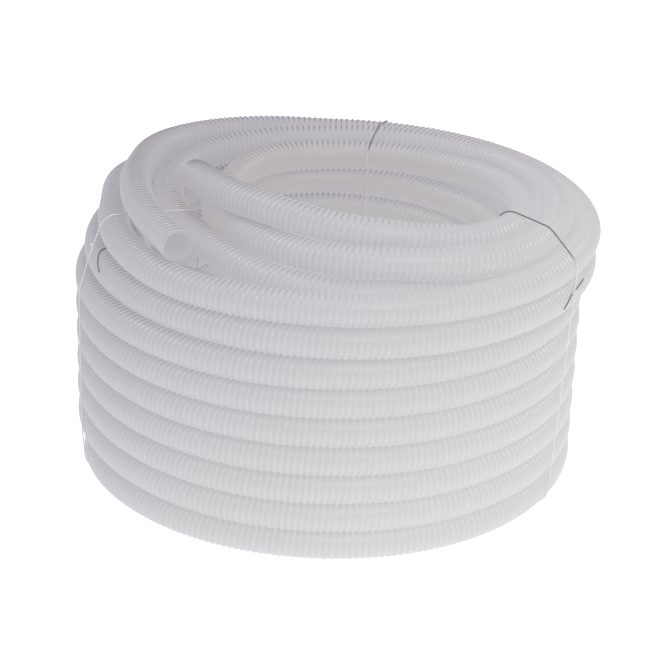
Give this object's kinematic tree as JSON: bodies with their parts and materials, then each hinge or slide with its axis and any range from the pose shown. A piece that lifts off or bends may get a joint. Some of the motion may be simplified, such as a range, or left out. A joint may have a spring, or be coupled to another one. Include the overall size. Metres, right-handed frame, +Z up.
{
  "type": "pool vacuum hose",
  "caption": "Coiled roll of ribbed flexible vacuum hose for pools and spas, wound in layers and held by ties, with open ends for cuffs.",
  "frame": {"origin": "centre of the roll's box, on the surface that the roll stands on", "axes": "+Z up along the axis of the coil, -Y towards the front, where the loose turns cross highest"},
  "size_m": [0.7366, 0.721, 0.4599],
  "materials": {
    "hose": "milky, half clear, soft ribbed polyethylene",
    "tie": "thin white plastic string"
  },
  "bodies": {
    "root": {"outer_layer": "hose", "middle_layer": "hose", "inner_layer": "hose", "outer_slipped_turn": "hose", "middle_slipped_turn": "hose", "outer_top_turn": "hose", "crossing_turns": "hose", "outer_end": "hose", "inner_end": "hose", "tie_left": "tie", "tie_back": "tie", "tie_right": "tie"}
  },
  "joints": []
}
